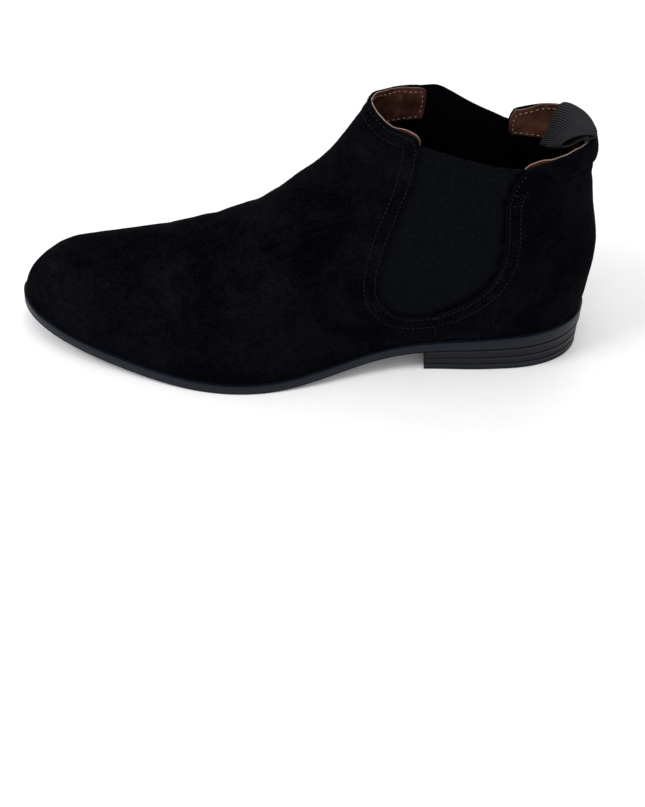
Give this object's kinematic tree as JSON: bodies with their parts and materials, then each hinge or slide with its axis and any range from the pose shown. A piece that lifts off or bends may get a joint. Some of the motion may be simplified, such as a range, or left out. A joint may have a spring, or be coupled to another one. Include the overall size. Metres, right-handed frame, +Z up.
{
  "type": "chelsea boot",
  "caption": "Low slip-on ankle boot for the left foot: suede upper, elastic side gores, leather-faced topline, webbing pull tab, long sole and low stacked heel.",
  "frame": {"origin": "middle of the footprint, on the ground", "axes": "+X to the toe, +Y to the outer side of the foot, +Z up"},
  "size_m": [0.3058, 0.103, 0.1477],
  "materials": {
    "suede": "napped, deep matt black with a slight blue cast",
    "elastic": "fine horizontal rib, matt",
    "textile": "black woven lining, matt",
    "brown_leather": "smooth, semi-matt with creases",
    "webbing": "ribbed tape, matt",
    "moulded_sole": "smooth, satin edge",
    "heel_stack": "satin, fine horizontal lines",
    "board": "fibre board, matt",
    "cork": "granular, matt",
    "steel": "plain"
  },
  "bodies": {
    "root": {"vamp": "suede", "quarter_lateral": "suede", "quarter_medial": "suede", "gore_lateral": "elastic", "gore_medial": "elastic", "heel_counter": "board", "toe_puff": "board", "vamp_lining": "textile", "front_facing": "brown_leather", "quarter_lining": "textile", "back_facing": "brown_leather", "outsole": "moulded_sole", "heel_top_piece": "moulded_sole", "heel_lift_lower": "heel_stack", "heel_lift_upper": "heel_stack", "bottom_filler": "cork", "shank": "steel", "insole_board": "board", "sock_liner": "brown_leather", "pull_tab_base": "webbing", "heel_nail_1": "steel", "heel_nail_2": "steel", "heel_nail_3": "steel", "heel_nail_4": "steel", "heel_nail_5": "steel"},
    "pull_tab": {"pull_tab_loop": "webbing"}
  },
  "joints": [
    {"name": "pull_tab_hinge", "type": "hinge", "parent": "root", "child": "pull_tab", "pos_m": [-0.13083, -0.00173, 0.13818], "axis": [0, -1, 0], "range_deg": [0, 140]}
  ]
}
